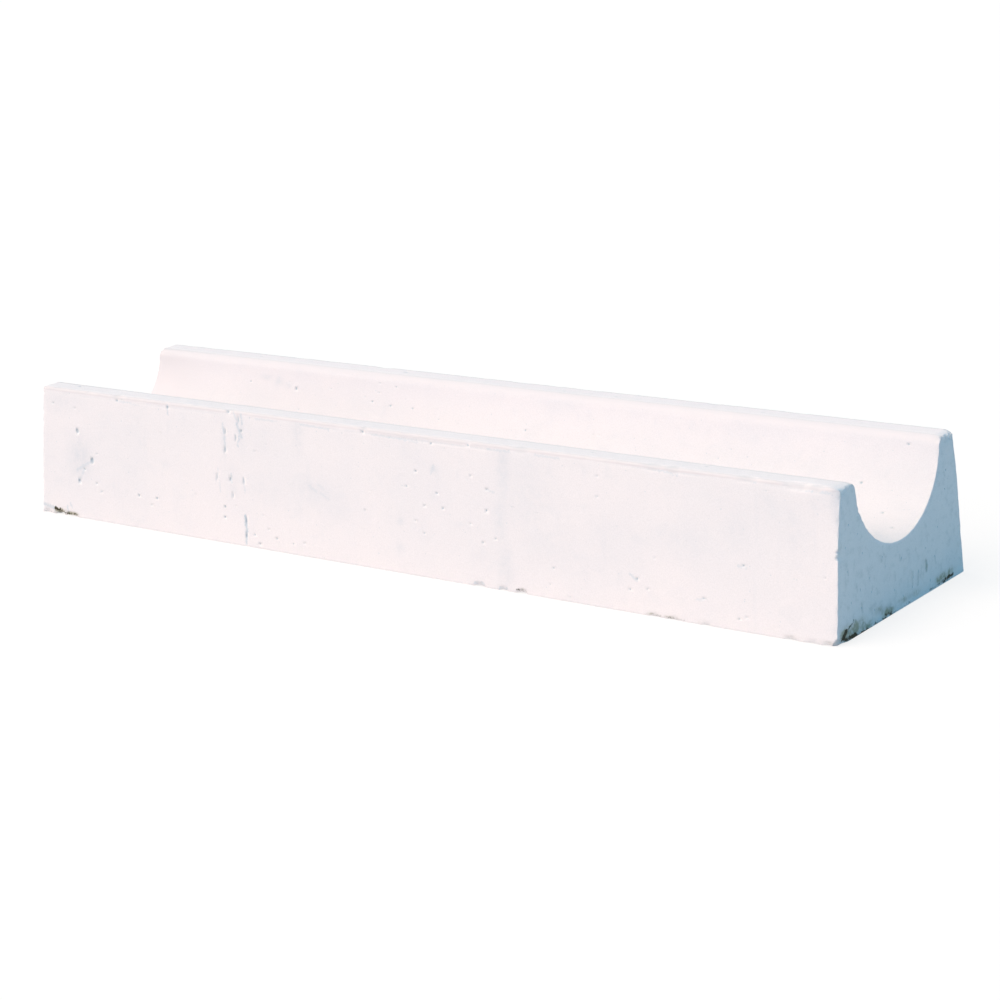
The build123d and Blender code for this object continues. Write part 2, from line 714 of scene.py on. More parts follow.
# %% [markdown]
# ## Bug holes
#
# Each air bubble against the mould left a small round hollow with a crisp rim. A bump map can't
# cut such a rim, and a fine grid everywhere would be far too heavy, so each hole gets a small patch
# of its own: the cells around it are taken out of the sheet, and rings of points lead from the
# edge of the gap over the rim, down the wall and to the bottom of the hole.
#
# The lists give each hole's pixel, its width and its height on the face in millimetres.

# %% The holes that can be seen
front_holes_px = [
    (76, 431, 5.0, 6.2), (91, 461, 5.4, 7.2), (79, 480, 4.6, 5.0), (85, 470, 2.6, 2.8),
    (97, 454, 1.8, 2.0), (157, 499, 3.0, 3.0), (153, 505, 2.2, 2.2), (139, 495, 2.4, 2.8),
    (97, 483, 2.0, 2.0), (103, 492, 1.8, 1.8), (116, 401, 2.6, 2.6), (122, 400, 1.8, 1.8),
    (167, 407, 2.2, 4.0), (167, 412, 1.8, 2.6), (74, 407, 1.6, 1.6), (53, 403, 1.8, 2.0),
    (229, 412, 2.8, 2.8), (250, 418, 1.6, 1.8), (231, 479, 2.6, 4.8), (224, 507, 2.8, 3.2),
    (225, 518, 2.6, 3.2), (237, 444, 2.2, 3.6), (241, 432, 2.2, 3.6), (255, 535, 2.2, 2.4),
    (259, 544, 2.2, 2.4), (278, 538, 2.6, 2.6), (269, 530, 1.8, 1.8), (293, 544, 2.0, 2.0),
    (306, 543, 1.6, 1.6), (363, 432, 2.4, 2.8), (341, 433, 1.6, 1.6), (430, 443, 2.6, 2.8),
    (469, 445, 2.2, 3.0), (415, 471, 2.4, 2.4), (408, 487, 2.2, 2.4), (437, 493, 2.0, 2.4),
    (444, 509, 2.4, 2.6), (425, 505, 1.8, 1.8), (416, 521, 1.6, 1.6), (486, 510, 2.2, 2.8),
    (471, 476, 1.6, 1.6), (487, 490, 2.6, 1.8), (512, 507, 1.6, 1.6), (472, 523, 1.8, 1.8),
    (482, 543, 2.2, 2.2), (497, 540, 2.0, 2.4), (424, 534, 1.8, 2.0), (510, 451, 1.8, 1.8),
    (553, 569, 2.0, 2.2), (551, 584, 1.4, 1.6), (598, 496, 1.7, 1.8), (597, 476, 1.5, 1.7),
    (636, 578, 2.0, 3.0), (630, 588, 1.9, 2.4), (647, 590, 1.5, 1.7),
    (570, 597, 1.5, 1.7), (704, 600, 1.8, 1.8), (739, 620, 2.1, 2.1), (748, 618, 1.6, 1.6),
    (742, 567, 2.4, 1.8), (765, 491, 1.3, 1.5), (655, 559, 1.2, 1.2), (824, 579, 1.2, 1.2),
]
front_scratches_px = [
    (246.5, 521, 1.5, 9), (247, 528, 2.0, 8), (246.5, 536, 1.6, 9), (246, 543, 1.3, 5),
    (224, 430, 1.3, 8), (224.5, 439, 1.6, 8), (224.5, 449, 1.3, 8), (238, 419, 1.4, 7),
    (239.5, 426, 1.5, 6), (236.5, 437, 1.4, 8), (244, 480, 1.0, 8), (217, 476, 1.0, 9),
    (219, 487, 1.0, 9), (232, 496, 1.1, 7),
]
channel_holes_px = [
    (252, 381, 2.2, 2.2), (297, 389, 3.2, 3.4), (330, 388, 1.8, 1.8), (380, 384, 1.8, 1.8),
    (395, 387, 2.2, 2.2), (365, 397, 1.6, 1.6), (373, 401, 2.6, 2.6), (391, 405, 2.8, 2.8),
    (414, 408, 2.2, 2.4), (438, 419, 1.8, 1.8), (299, 409, 1.6, 1.6), (477, 435, 1.8, 2.0),
    (907, 443, 2.6, 2.6), (861, 483, 3.0, 3.0), (882, 513, 2.2, 2.2), (893, 528, 1.8, 1.8),
    (720, 459, 1.6, 1.6), (753, 464, 1.4, 1.4), (592, 435, 1.4, 1.4), (600, 435, 1.3, 1.3),
]
top_holes_px = [
    (707, 466, 1.8, 1.8), (593, 452, 1.6, 1.6), (80, 386, 1.8, 3.0), (560, 446, 1.6, 1.6),
]

# %% [markdown]
# On the hidden faces the holes are drawn at random, as many to the area as on the front, with a
# few large ones and many small. Tiny holes are also strewn over the front side, the channel and
# the back wall's top.

# %% Draw the hidden holes
hole_draw = np.random.default_rng(29)
strewn_row_margin = 2
strewn_column_margin = 14
strewn_heights = (0.9, 1.35)
# The stretch, the number of holes, and the least and the greatest width in millimetres
strewn_holes = [
    ("back_side", 75, 1.6, 6.0),
    ("bore", 40, 1.1, 2.8),
    ("base", 60, 2.0, 7.0),
    ("front_side", 14, 0.9, 1.3),
    ("back_top", 6, 1.2, 2.2),
]


def strewn_places(name, count):
    """Random points of the sheet on the named stretch, even over the area and clear of the ends."""
    rows = row_of[name][strewn_row_margin:-strewn_row_margin]
    row_area = np.linalg.norm(np.roll(section, -1, axis=0) - section, axis=1)[rows]
    chosen_rows = hole_draw.choice(rows, count, p=row_area / row_area.sum())
    chosen_columns = hole_draw.integers(strewn_column_margin, column_count - strewn_column_margin, count)
    return sheet[chosen_rows, chosen_columns]


def strewn_sizes(count, least_mm, most_mm):
    """Widths and heights in millimetres; cubing an even draw makes small holes common."""
    widths = least_mm + (most_mm - least_mm) * hole_draw.uniform(0, 1, count) ** 3
    return np.column_stack([widths, widths * hole_draw.uniform(*strewn_heights, count)])


hole_places = [
    on_front_side(front_holes_px),
    on_front_side(front_scratches_px),
    on_channel(channel_holes_px),
    on_wall_top(top_holes_px),
]
hole_sizes = [
    np.array(holes)[:, 2:]
    for holes in (front_holes_px, front_scratches_px, channel_holes_px, top_holes_px)
]
for name, count, least_mm, most_mm in strewn_holes:
    hole_places.append(strewn_places(name, count))
    hole_sizes.append(strewn_sizes(count, least_mm, most_mm))
hole_places = np.concatenate(hole_places)
hole_sizes = np.concatenate(hole_sizes)
print("holes asked for:", len(hole_places))

# %% [markdown]
# Each patch is laid out in the sheet's own rows and columns. The hole's middle is moved to the
# nearest grid point, the rings are drawn in millimetres round it, and each ring point takes its
# place from the four grid points around it, blended by how near it is to each. A hole whose block
# of cells isn't free is left out, so the largest are cut first.

# %% Blocks and blends
ring_shares = (1.0, 0.84, 0.5)
ring_depth_shares = (0.03, 0.62, 0.95)
block_fill_share = 0.74
sheet_outward = sheet_normals(sheet)
taken = np.zeros((row_count, column_count), bool)


def cell_size(row, column):
    """The sheet's step from row to row and from column to column, near one of its points."""
    row_step = np.linalg.norm(sheet[(row + 1) % row_count, column] - sheet[row - 1, column]) / 2
    after, before = min(column + 1, column_count - 1), max(column - 1, 0)
    return row_step, np.linalg.norm(sheet[row, after] - sheet[row, before]) / 2


def blended(grid, rows, columns):
    """The grid's value between its points: the four around it, weighted by nearness."""
    low_row = np.floor(rows).astype(int)
    low_column = np.floor(columns).astype(int)
    u = (rows - low_row)[:, None]
    v = (columns - low_column)[:, None]
    next_row = (low_row + 1) % row_count
    low_row = low_row % row_count
    upper = grid[low_row, low_column] * (1 - v) + grid[low_row, low_column + 1] * v
    lower = grid[next_row, low_column] * (1 - v) + grid[next_row, low_column + 1] * v
    return upper * (1 - u) + lower * u


def block_edge(half_rows, half_columns):
    """The grid offsets round the edge of a block, once round, as rows and columns."""
    r, c = half_rows, half_columns
    sides = [
        [(-r, k) for k in range(-c, c)],
        [(k, c) for k in range(-r, r)],
        [(r, -k) for k in range(-c, c)],
        [(-k, -c) for k in range(-r, r)],
    ]
    return np.array([offset for side in sides for offset in side])


def take_block(row, column, half_rows, half_columns):
    """Marks the cells of a block as taken; says whether it was free and clear of the end arris."""
    first, last = column - half_columns, column + half_columns
    if first < end_arris_cells or last > column_count - 1 - end_arris_cells:
        return False
    rows = np.arange(row - half_rows, row + half_rows) % row_count
    block = np.ix_(rows, np.arange(first, last))
    if taken[block].any():
        return False
    taken[block] = True
    return True


# %% [markdown]
# No bubble is a true circle, so three waves with random heights bend each rim. A small hole is
# shallower for its width than a large one, and gets paler painted shade, because more light reaches
# its bottom.

# %% Cut the holes
depth_of_width_share = 0.28
most_hole_depth = 1.5 * mm
hole_depth_spread = (0.75, 1.25)
rim_wobble = 0.13
rim_limits = (0.7, 1.3)
dark_hole_width_mm = 3.6
least_dark_share = 0.35
first_hole_seed = 1000
points = [sheet.reshape(-1, 3)]
hollow = [np.zeros(row_count * column_count)]
patch_faces = []


def bent_rim(angle, draw):
    """One plus three waves round the rim, each of a random height over its order."""
    wobble = sum(
        draw.normal(0, rim_wobble / order) * np.cos(order * angle + draw.uniform(0, 6))
        for order in (1, 2, 3)
    )
    return np.clip(1 + wobble, *rim_limits)


def add_points(places, depth_shares):
    """Adds points to the mesh, with how deep each lies in its hole, and returns their numbers."""
    first = sum(len(part) for part in points)
    points.append(places)
    hollow.append(depth_shares)
    return np.arange(first, first + len(places))


def cut_hole(place, size_mm, number):
    """Cuts one hole at the grid point nearest to the place; says whether there was room.

    The ring point at an angle lies at the rim's radius there times the ring's share, and its
    depth is the hole's depth times the ring's depth share, along the inward direction.
    """
    gap = ((sheet - place) ** 2).sum(axis=2)
    row, column = np.unravel_index(gap.argmin(), gap.shape)
    row_step, column_step_here = cell_size(row, column)
    half_width, half_height = size_mm * mm / 2
    half_rows = max(1, math.ceil(half_height / (block_fill_share * row_step)))
    half_columns = max(1, math.ceil(half_width / (block_fill_share * column_step_here)))
    if not take_block(row, column, half_rows, half_columns):
        return False

    edge = block_edge(half_rows, half_columns)
    outer = ((row + edge[:, 0]) % row_count) * column_count + column + edge[:, 1]
    up = edge[:, 0] * row_step / half_height
    across = edge[:, 1] * column_step_here / half_width
    angle = np.arctan2(up, across)
    draw = np.random.default_rng(first_hole_seed + number)
    rim = bent_rim(angle, draw)
    dark_share = float(np.clip(size_mm.max() / dark_hole_width_mm, least_dark_share, 1))
    hole_depth = depth_of_width_share * 2 * min(half_width, half_height) * dark_share
    hole_depth = min(most_hole_depth, hole_depth) * draw.uniform(*hole_depth_spread)
    for share, depth_share in zip(ring_shares, ring_depth_shares):
        rows = row + np.sin(angle) * rim * share * half_height / row_step
        columns = column + np.cos(angle) * rim * share * half_width / column_step_here
        inward = -blended(sheet_outward, rows, columns)
        ring = blended(sheet, rows, columns) + inward * hole_depth * depth_share
        inner = add_points(ring, np.full(len(edge), depth_share * dark_share))
        quads = np.column_stack([outer, np.roll(outer, -1), np.roll(inner, -1), inner])
        patch_faces.extend(quads.tolist())
        outer = inner
    bottom = sheet[row, column] - sheet_outward[row, column] * hole_depth
    middle = add_points(bottom[None], np.full(1, dark_share))
    fan = np.column_stack([outer, np.roll(outer, -1), np.repeat(middle, len(outer))])
    patch_faces.extend(fan.tolist())
    return True


largest_first = np.argsort(-hole_sizes.max(axis=1), kind="stable")
cut_count = sum(cut_hole(hole_places[k], hole_sizes[k], k) for k in largest_first)
print("holes cut:", cut_count, "of", len(hole_places))

# %% [markdown]
# The rest of the sheet is plain cells of four points. The order of the corners makes each face look
# outwards, and the last row joins the first, which closes the section.

# %% Face the sheet


def sheet_faces():
    """Cells of the sheet that no hole has taken: this point, the next in X, the next row's two."""
    row, column = np.nonzero(~taken[:, :-1])
    next_row = (row + 1) % row_count
    here = row * column_count + column
    below = next_row * column_count + column
    return np.column_stack([here, here + 1, below + 1, below])


body_faces = sheet_faces()
print("cells left plain:", len(body_faces), "faces in patches:", len(patch_faces))

# %% [markdown]
# ## The two ends
#
# An end is a flat face with a bay cut out of it, which no grid of rows and columns fits well. So
# its outline, which is the sheet's first or last column, is filled with points on a triangular
# lattice, and a Delaunay triangulation joins them. Rings for the bug holes are added to the points.

# %% Points inside an end's outline
end_point_step = 3.4 * mm
lattice_clear_share = 0.6
square_end_holes_px = [
    (927, 565, 3.0, 9.0), (861, 590, 2.2, 3.4), (902, 558, 2.4, 2.6), (883, 557, 1.8, 2.2),
    (870, 578, 1.8, 2.0), (914, 577, 1.8, 3.0), (919, 571, 1.6, 3.4), (913, 587, 2.0, 2.6),
    (931, 580, 1.8, 3.2), (862, 608, 2.4, 2.8), (875, 610, 1.6, 2.4), (863, 553, 2.0, 2.0),
    (852, 603, 1.8, 2.2), (946, 470, 2.2, 2.2), (945, 489, 1.8, 2.0), (938, 527, 2.0, 2.0),
    (849, 525, 2.0, 2.4), (846, 548, 1.8, 2.0), (858, 534, 1.6, 1.8), (926, 548, 1.6, 2.0),
    (895, 590, 1.6, 2.4), (904, 596, 1.8, 2.4), (886, 566, 1.4, 1.6), (935, 556, 1.6, 1.8),
    (872, 592, 1.6, 2.0), (848, 572, 1.8, 1.8), (856, 621, 2.8, 4.6), (849, 632, 3.6, 3.6),
]


def inside(outline, candidates):
    """Whether each candidate lies inside the outline: a line from it crosses the outline an odd
    number of times."""
    a = outline[:, None]
    b = np.roll(outline, -1, axis=0)[:, None]
    crosses = (a[..., 1] > candidates[:, 1]) != (b[..., 1] > candidates[:, 1])
    run, rise = np.moveaxis(b - a, -1, 0)
    with np.errstate(divide="ignore", invalid="ignore"):
        meet = a[..., 0] + (candidates[:, 1] - a[..., 1]) * run / rise
    return (crosses & (candidates[:, 0] < meet)).sum(axis=0) % 2 == 1


def gap_to(outline, candidates):
    """The distance from each candidate to the nearest point of the outline, and that point's row."""
    gaps = np.linalg.norm(outline[:, None] - candidates, axis=2)
    return gaps.min(axis=0), gaps.argmin(axis=0)


def lattice(outline):
    """Points on a lattice of equal-sided triangles inside the outline, clear of it by most of a step."""
    row_step = end_point_step * math.sqrt(0.75)
    ys = np.arange(-half_base, half_base, end_point_step)
    zs = np.arange(0, height, row_step)
    grid_y, grid_z = np.meshgrid(ys, zs)
    grid_y = grid_y + (np.arange(len(zs)) % 2)[:, None] * end_point_step / 2
    candidates = np.column_stack([grid_y.ravel(), grid_z.ravel()])
    clear = gap_to(outline, candidates)[0] > lattice_clear_share * end_point_step
    return candidates[inside(outline, candidates) & clear]


# %% [markdown]
# The holes of an end have rings too, but here the rings are simply more points for the
# triangulation. One more ring, just outside the rim, keeps the rim crisp.

# %% Holes for an end
end_ring_points = 10
end_rim_jitter = 0.06
outer_ring_share = 1.12
hole_edge_room = 2.0 * mm
hole_lattice_room = 1.1 * mm


def hole_rings(middle, half, seed):
    """Ring points of one hole in Y and Z, with each point's share of the depth."""
    draw = np.random.default_rng(seed)
    angle = 2 * math.pi * np.arange(end_ring_points) / end_ring_points
    wobble = 1 + rim_wobble * np.cos(2 * angle + draw.uniform(0, 6))
    wobble += draw.normal(0, end_rim_jitter, len(angle))
    rim = np.column_stack([np.cos(angle), np.sin(angle)]) * half * wobble[:, None]
    rings = [middle + rim * share for share in (outer_ring_share,) + ring_shares]
    shares = np.repeat((0.0,) + ring_depth_shares, end_ring_points)
    return np.concatenate(rings + [middle[None]]), np.append(shares, 1.0)


def with_holes(outline, holes, seed):
    """The lattice with the rings of every hole that has room: the points in Y and Z, each one's
    share of its hole's depth, and how deep it lies."""
    inner = lattice(outline)
    shares = np.zeros(len(inner))
    deep = np.zeros(len(inner))
    for number, (y, z, width, tall) in enumerate(holes):
        middle = np.array([y, z])
        half = np.array([width, tall]) / 2
        room = gap_to(outline, middle[None])[0][0] - half.max()
        if room < hole_edge_room or not inside(outline, middle[None])[0]:
            continue
        clear = (((inner - middle) / (half + hole_lattice_room)) ** 2).sum(axis=1) > 1
        if (shares[~clear] > 0).any():
            continue
        rings, new_shares = hole_rings(middle, half, seed + number)
        hole_depth = min(most_hole_depth, 2 * depth_of_width_share * half.min())
        inner = np.concatenate([inner[clear], rings])
        shares = np.concatenate([shares[clear], new_shares])
        deep = np.concatenate([deep[clear], new_shares * hole_depth])
    return inner, shares, deep


# %% [markdown]
# The triangles are found on the plain outline. Then the points near it follow the worn edge, so
# that chips and dents run on into the end.

# %% Fill the two ends
battered_end_hole_count = 26
battered_end_hole_mm = ((1.6, 4.0), (1.8, 4.6))
square_end_seed = 300
battered_end_seed = 500
end_swell_depth = 0.5 * mm
end_swell_wavelength = 40 * mm
end_skin_depth = 0.25 * mm
end_skin_wavelength = 9 * mm
end_relief_reach = 5 * mm
edge_move_reach = 10 * mm
triangles_inside = 1
same_point_gap = 1e-7


def joined(outline, inner):
    """Triangles between the outline's points and the inner ones, as rows of three numbers."""
    flat = np.concatenate([outline, inner])
    result = mathutils.geometry.delaunay_2d_cdt(
        [mathutils.Vector(point) for point in flat], [], [list(range(len(outline)))],
        triangles_inside, same_point_gap, False)
    assert len(result[0]) == len(flat)
    triangles = np.array(result[2])
    return triangles[inside(outline, flat[triangles].mean(axis=1))]


def placed_on_end(column, inner, deep):
    """The inner points in space: on the end's plane, less the relief and the depth of the holes,
    plus the nearest edge point's move, by a share that falls from one to zero over the reach."""
    side = 1 if column else -1
    lean = 0 if column else end_batter / height
    placed = np.column_stack([side * length / 2 + lean * inner[:, 1], inner])
    gap, nearest = gap_to(plain[:, column, 1:], inner)
    relief = end_swell_depth * half_lit(layered_noise(placed, end_swell_wavelength, seed=83))
    relief += end_skin_depth * half_lit(layered_noise(placed, end_skin_wavelength, seed=89))
    placed[:, 0] -= side * (relief * smooth_step(gap, 0, end_relief_reach) + deep)
    edge_moves = sheet[:, column] - plain[:, column]
    placed += edge_moves[nearest] * (1 - smooth_step(gap, 0, edge_move_reach))[:, None]
    break_corners(placed)
    return placed


def turned_outwards(corners, flat, side):
    """The triangles' corners, in the other order where a triangle looks into the unit: where its
    turning, the cross product of two of its sides, doesn't have the sign of the side."""
    first_side = flat[:, 1] - flat[:, 0]
    second_side = flat[:, 2] - flat[:, 0]
    turning = first_side[:, 0] * second_side[:, 1] - first_side[:, 1] * second_side[:, 0]
    return np.where((turning * side < 0)[:, None], corners[:, ::-1], corners)


def fill_end(column, holes, seed):
    """Adds the points of the end at the sheet's given column, and returns its triangles."""
    outline = plain[:, column, 1:]
    inner, shares, deep = with_holes(outline, holes, seed)
    triangles = joined(outline, inner)
    inner_numbers = add_points(placed_on_end(column, inner, deep), shares)
    numbers = np.concatenate([np.arange(row_count) * column_count + column, inner_numbers])
    flat = np.concatenate([outline, inner])[triangles]
    print("end at column", column, "triangles:", len(triangles))
    return turned_outwards(numbers[triangles], flat, 1 if column else -1)


square_holes = [
    (place[1], place[2], hole[2] * mm, hole[3] * mm)
    for place, hole in zip(on_square_end(square_end_holes_px), square_end_holes_px)
]
widths_mm, heights_mm = battered_end_hole_mm
battered_holes = [
    (hole_draw.uniform(-half_base, half_base), hole_draw.uniform(0, height),
     hole_draw.uniform(*widths_mm) * mm, hole_draw.uniform(*heights_mm) * mm)
    for _ in range(battered_end_hole_count)
]
first_end_point = sum(len(part) for part in points)
square_faces = fill_end(column_count - 1, square_holes, square_end_seed)
battered_faces = fill_end(0, battered_holes, battered_end_seed)

# %% [markdown]
# ## One closed mesh
#
# The sheet, the patches and the two ends share their edge points, so they join into one closed
# mesh. Besides its shape the mesh carries seven values at each point, which the material reads:
# how deep it lies in a hole, which sets the hole's painted shade, how broken, smudged or dirty the
# skin is there, how much painted shade and how much painted light it gets, and whether it is on an
# end. Smudges and dirt come first, each a soft spot round its pixel's place.

# %% Smudges and dirt
# Each smudge: its pixel, its width and height in millimetres, and its strength
front_smudges_px = [
    (80, 457, 34, 44, 0.55), (60, 400, 50, 22, 0.22), (150, 430, 120, 60, 0.10),
    (224, 440, 7, 46, 0.45), (240, 428, 8, 42, 0.55), (297, 432, 14, 40, 0.35),
    (232, 488, 22, 40, 0.20), (262, 490, 40, 34, 0.16), (318, 492, 50, 30, 0.26),
    (340, 505, 44, 40, 0.16), (503, 470, 14, 60, 0.42), (500, 520, 16, 50, 0.36),
    (505, 565, 18, 46, 0.34), (433, 469, 9, 7, 0.45), (530, 500, 60, 70, 0.22),
    (550, 540, 70, 50, 0.18), (400, 521, 9, 8, 0.4), (400, 548, 12, 10, 0.35),
    (500, 405, 30, 14, 0.2), (690, 545, 60, 30, 0.18), (735, 530, 30, 40, 0.2),
    (610, 540, 60, 40, 0.10), (790, 520, 60, 40, 0.16), (820, 500, 30, 30, 0.25),
]
channel_smudges_px = [
    (267, 377, 16, 6, 0.5), (279, 381, 13, 9, 0.6), (289, 386, 10, 7, 0.5),
    (870, 535, 26, 16, 0.3), (560, 402, 60, 14, 0.16), (725, 430, 90, 16, 0.12),
]
foot_dirt_px = [
    (60, 511, 16, 7, 1.0), (72, 514, 22, 5, 0.7), (49, 505, 16, 9, 0.2), (523, 590, 12, 5, 0.3),
    (652, 614, 14, 3, 0.4), (668, 617, 30, 3, 0.3),
    (704, 623, 20, 3, 0.2), (790, 637, 20, 5, 0.2), (828, 643, 20, 6, 0.2),
]
end_dirt_px = [
    (847, 635, 20, 14, 1.0), (856, 629, 22, 15, 0.8), (864, 622, 14, 12, 0.5),
    (868, 626, 30, 7, 0.6), (888, 612, 22, 8, 0.8), (879, 610, 14, 10, 0.4),
    (903, 600, 26, 7, 0.35), (917, 592, 16, 9, 0.35), (942, 578, 24, 10, 0.75),
    (950, 572, 14, 10, 0.6), (927, 566, 4, 10, 0.5), (912, 578, 5, 20, 0.25),
]

spot_margin = 6 * mm
mould_line_smudge = 0.4
counted_from = 0.1
hidden_dirt_count = 9
hidden_dirt_height = 1 * mm
hidden_dirt_widths_mm = (10, 34)
hidden_dirt_tall_mm = 5
hidden_dirt_strength = 0.6
all_points = np.concatenate(points)


def painted(follow, marks):
    """The strongest mark at each point: its strength times a bell curve over its width and height."""
    amount = np.zeros(len(all_points))
    for place, (_, _, wide_mm, tall_mm, strength) in zip(follow(marks), marks):
        off = all_points - place
        wide = np.hypot(off[:, 0], off[:, 1])
        spread = (wide / (wide_mm * mm / 2)) ** 2 + (off[:, 2] / (tall_mm * mm / 2)) ** 2
        near = wide < wide_mm * mm * 2 + spot_margin
        amount = np.where(near, np.maximum(amount, strength * np.exp(-spread)), amount)
    return amount


def on_sheet(values, elsewhere=0.0):
    """Values of the sheet's points, given as rows by columns, and one value for all the others."""
    result = np.full(len(all_points), elsewhere)
    result[:row_count * column_count] = np.broadcast_to(values, taken.shape).ravel()
    return result


def hidden_dirt_places(marks):
    """Places along the foot of the back side: the marks hold their X in place of a pixel."""
    return np.array([(mark[0], half_base, hidden_dirt_height) for mark in marks])


hidden_dirt_x = hidden_draw.uniform(-length / 2, length / 2, hidden_dirt_count)
hidden_dirt = [
    (x, 0, hidden_draw.uniform(*hidden_dirt_widths_mm), hidden_dirt_tall_mm, hidden_dirt_strength)
    for x in hidden_dirt_x
]
smudge = np.maximum.reduce([
    painted(on_front_side, front_smudges_px),
    painted(on_channel, channel_smudges_px),
    on_sheet(mould_line_smudge * line_share),
])
dirt = np.maximum.reduce([
    painted(on_front_side, foot_dirt_px),
    painted(on_square_end, end_dirt_px),
    painted(hidden_dirt_places, hidden_dirt),
])
print("smudged points:", int((smudge > counted_from).sum()),
      "dirty points:", int((dirt > counted_from).sum()))

# %% [markdown]
# The arrises and the rolled edges get painted shade, which holds down the highlight that the lamps
# give them, and so does the channel towards its far, low end, where the lamps reach in past the open
# end. The bottom of the channel and the wall tops get painted light, which makes them the palest.

# %% Painted shade, painted light and broken skin
rolled_shade_share = 0.75
bore_shade_share = 0.25
bore_shade_from = -300 * mm
bore_shade_to = 100 * mm
bore_end_shade_share = 0.65
bore_end_shade_from = -490 * mm
bore_end_shade_to = -380 * mm
painted_light_from_depth = 35 * mm
painted_light_to_depth = 70 * mm
break_shows_from = 0.1 * mm
break_shows_fully = 0.8 * mm

# Painted shade on the arrises and the rolled edges, against the highlight that the lamps give them
rolled_painted_shade = rolled_shade_share * np.sin(math.pi * even_shares(rolled_cells))
row_painted_shade = row_values(front_arris=1, back_arris=1, front_rolled=rolled_painted_shade, back_rolled=rolled_painted_shade)
in_bore = row_values(bore=1, front_rolled=1, back_rolled=1)
# Painted shade in the channel, strongest towards its far, low end, where the lamps reach in past the open
# end
bore_shade = bore_shade_share * (1 - smooth_step(plain[..., 0], bore_shade_from, bore_shade_to))
bore_shade += bore_end_shade_share * (1 - smooth_step(plain[..., 0], bore_end_shade_from, bore_end_shade_to))
depth_in_bore = height - section[row_of["bore"], 1]
# Painted light on the wall tops and in the lower part of the channel
row_painted_light = row_values(
    bore=smooth_step(depth_in_bore, painted_light_from_depth, painted_light_to_depth), front_top=1, back_top=1)
break_depth = np.maximum.reduce([foot_cut, arris_cut, pressed, bite])
painted_values = {
    "hollow": np.concatenate(hollow),
    "broken": on_sheet(smooth_step(break_depth, break_shows_from, break_shows_fully)),
    "smudge": smudge,
    "dirt": dirt,
    "on_end": (np.arange(len(all_points)) >= first_end_point).astype(float),
    # How much painted shade each point gets
    "painted_shade": on_sheet(np.maximum(row_painted_shade[:, None], in_bore[:, None] * bore_shade)),
    # How much painted light each point gets
    "painted_light": on_sheet(row_painted_light[:, None]),
}
print({name: round(float(values.mean()), 3) for name, values in painted_values.items()})

# %% [markdown]
# All the points and faces now go into one mesh, the values with them. It rides on the root and
# stands in for the plain solid. In a closed mesh each edge has two faces, which is counted here.

# %% Join everything into the cast unit


def open_edge_count(made):
    """How many edges don't have two faces: in a closed mesh there are none."""
    loops = np.zeros(len(made.loops), int)
    made.loops.foreach_get("edge_index", loops)
    return int((np.bincount(loops, minlength=len(made.edges)) != 2).sum())


faces = body_faces.tolist() + patch_faces + square_faces.tolist() + battered_faces.tolist()
mesh = bpy.data.meshes.new("cast_channel")
mesh.from_pydata(all_points.tolist(), [], faces)
mesh.update()
for name, values in painted_values.items():
    attribute = mesh.attributes.new(name, "FLOAT", "POINT")
    attribute.data.foreach_set("value", values.astype(np.float32))
mesh.polygons.foreach_set("use_smooth", np.ones(len(mesh.polygons), bool))
cast_channel = bpy.data.objects.new("cast_channel", mesh)
bpy.context.scene.collection.objects.link(cast_channel)
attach(cast_channel, "root")
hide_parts("drainage_channel")
mesh.calc_loop_triangles()
print("points:", len(mesh.vertices), "triangles:", len(mesh.loop_triangles),
      "open edges:", open_edge_count(mesh), "mended:", mesh.validate())
